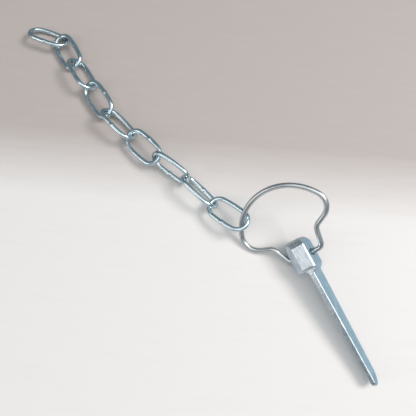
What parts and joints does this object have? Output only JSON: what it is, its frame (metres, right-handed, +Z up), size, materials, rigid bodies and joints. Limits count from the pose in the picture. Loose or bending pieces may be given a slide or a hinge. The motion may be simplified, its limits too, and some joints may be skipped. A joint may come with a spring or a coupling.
{
  "type": "cotter pin with ring and retaining chain",
  "caption": "Flat tapered cotter pin with a block head, a sprung wire ring hinged through the head and a welded long-link retaining chain hung from the ring.",
  "frame": {"origin": "on the surface the part lies on, under the middle of the laid-out assembly", "axes": "+X along the chain towards its free end, +Z up off the surface, +Y across"},
  "size_m": [0.3759, 0.0621, 0.0455],
  "materials": {
    "forged_zinc": "bright zinc plate over a rough forged and sheared surface",
    "ring_zinc": "bright zinc plate on drawn spring wire",
    "link_zinc": "bright zinc plate on bent and butt-welded wire"
  },
  "bodies": {
    "pin": {"pin": "forged_zinc"},
    "spring_ring": {"spring_ring": "ring_zinc"},
    "chain_link_1": {"chain_link_1": "link_zinc"},
    "chain_link_2": {"chain_link_2": "link_zinc"},
    "chain_link_3": {"chain_link_3": "link_zinc"},
    "chain_link_4": {"chain_link_4": "link_zinc"},
    "chain_link_5": {"chain_link_5": "link_zinc"},
    "chain_link_6": {"chain_link_6": "link_zinc"},
    "chain_link_7": {"chain_link_7": "link_zinc"},
    "chain_link_8": {"chain_link_8": "link_zinc"},
    "chain_link_9": {"chain_link_9": "link_zinc"}
  },
  "joints": [
    {"name": "ring_hinge", "type": "hinge", "parent": "pin", "child": "spring_ring", "pos_m": [-0.0988, -0.0021, 0.0128], "axis": [-0.3032, -0.7407, 0.5995], "range_deg": [-185, 145]},
    {"name": "link_1_swing", "type": "hinge", "parent": "spring_ring", "child": "chain_link_1", "pos_m": [-0.05212, 0.0132, 0.012], "axis": [-0.4738, 0.5741, -0.6678], "range_deg": [-40, 40]},
    {"name": "link_2_swing", "type": "hinge", "parent": "chain_link_1", "child": "chain_link_2", "pos_m": [-0.02475, 0.01672, 0.00763], "axis": [-0.1857, 0.9821, 0.0315], "range_deg": [-27, 14]},
    {"name": "link_3_swing", "type": "hinge", "parent": "chain_link_2", "child": "chain_link_3", "pos_m": [0.00293, 0.01681, 0.00943], "axis": [-0.136, 0.5693, 0.8108], "range_deg": [-14, 14]},
    {"name": "link_4_swing", "type": "hinge", "parent": "chain_link_3", "child": "chain_link_4", "pos_m": [0.03027, 0.02091, 0.01], "axis": [-0.111, 0.278, -0.9541], "range_deg": [-19, 22]},
    {"name": "link_5_swing", "type": "hinge", "parent": "chain_link_4", "child": "chain_link_5", "pos_m": [0.05784, 0.02162, 0.00767], "axis": [-0.076, 0.9384, -0.3371], "range_deg": [-40, 40]},
    {"name": "link_6_swing", "type": "hinge", "parent": "chain_link_5", "child": "chain_link_6", "pos_m": [0.08502, 0.01906, 0.00758], "axis": [0.352, 0.6609, 0.6628], "range_deg": [-40, 40]},
    {"name": "link_7_swing", "type": "hinge", "parent": "chain_link_6", "child": "chain_link_7", "pos_m": [0.11256, 0.01557, 0.0078], "axis": [0.112, 0.8503, -0.5143], "range_deg": [-40, 40]},
    {"name": "link_8_swing", "type": "hinge", "parent": "chain_link_7", "child": "chain_link_8", "pos_m": [0.13742, 0.00602, 0.00386], "axis": [0.6929, 0.4665, 0.5498], "range_deg": [-40, 30]},
    {"name": "link_9_swing", "type": "hinge", "parent": "chain_link_8", "child": "chain_link_9", "pos_m": [0.16321, -0.00073, 0.00624], "axis": [0.7142, 0.6342, -0.2963], "range_deg": [-14, 42]}
  ]
}
